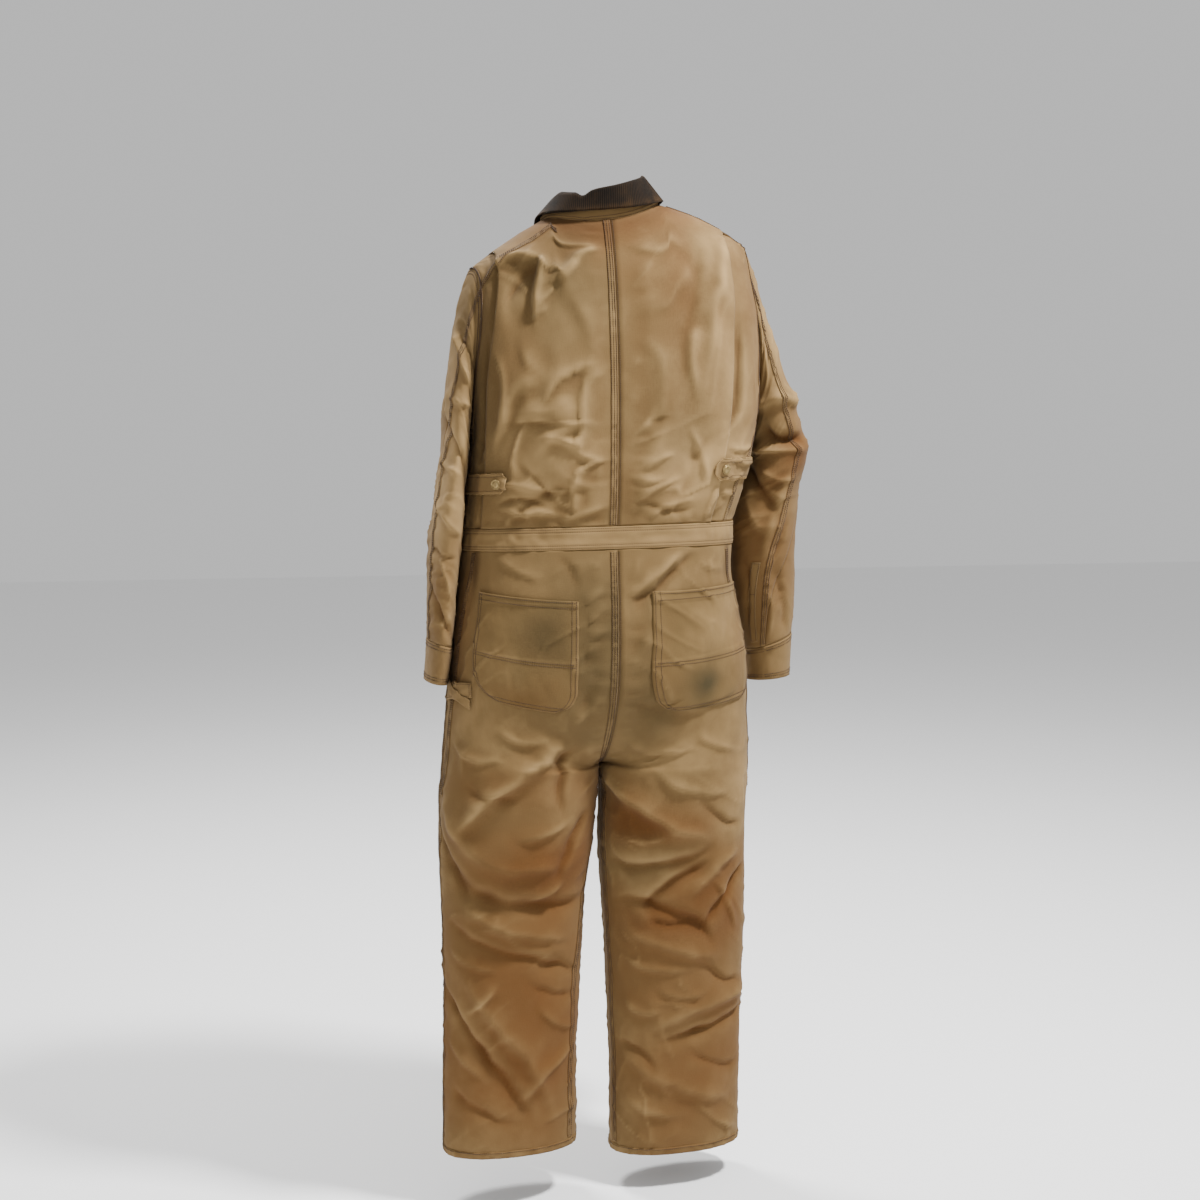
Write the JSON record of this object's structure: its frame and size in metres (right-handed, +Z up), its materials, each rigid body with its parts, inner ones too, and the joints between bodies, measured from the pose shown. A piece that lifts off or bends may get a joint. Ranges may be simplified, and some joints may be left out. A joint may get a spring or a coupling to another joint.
{
  "type": "boiler suit",
  "caption": "Faded tan cotton duck boiler suit with a dark corduroy collar, pleated back, waist tabs, patch seat pockets, tool loop and closed front zip, filled out as if worn.",
  "frame": {"origin": "between the shoulders on the centre line, level with the neck seam at the shoulders, where a stand or hanger would hold the suit", "axes": "+Z up along the suit, +Y towards the wearer's back, -Y towards the front zip, +X towards the wearer's left arm"},
  "size_m": [0.679, 0.26, 1.6985],
  "materials": {
    "duck": "faded cotton duck, unevenly washed out",
    "duck_worn": "worn cotton duck with grey-green rubbed patches",
    "corduroy": "dark brown wide-wale corduroy",
    "brass": "dull, rubbed",
    "zip_brass": "dull metal chain on cotton tape"
  },
  "bodies": {
    "root": {"collar_stand": "duck", "collar_fall": "corduroy", "back_left": "duck", "back_right": "duck", "back_side_left": "duck", "back_side_right": "duck", "front_left": "duck", "front_right": "duck", "leg_back_left": "duck", "leg_back_right": "duck", "leg_front_left": "duck", "leg_front_right": "duck", "sleeve_back_left": "duck", "sleeve_back_right": "duck", "sleeve_front_left": "duck", "sleeve_front_right": "duck", "cuff_left": "duck", "cuff_right": "duck", "tab_left": "duck", "tab_right": "duck", "waistband": "duck", "tool_loop": "duck", "sleeve_placket": "duck", "pocket_back_left": "duck_worn", "pocket_back_right": "duck_worn", "button_left": "brass", "button_right": "brass", "zip": "zip_brass", "zip_slider": "brass"}
  },
  "joints": []
}
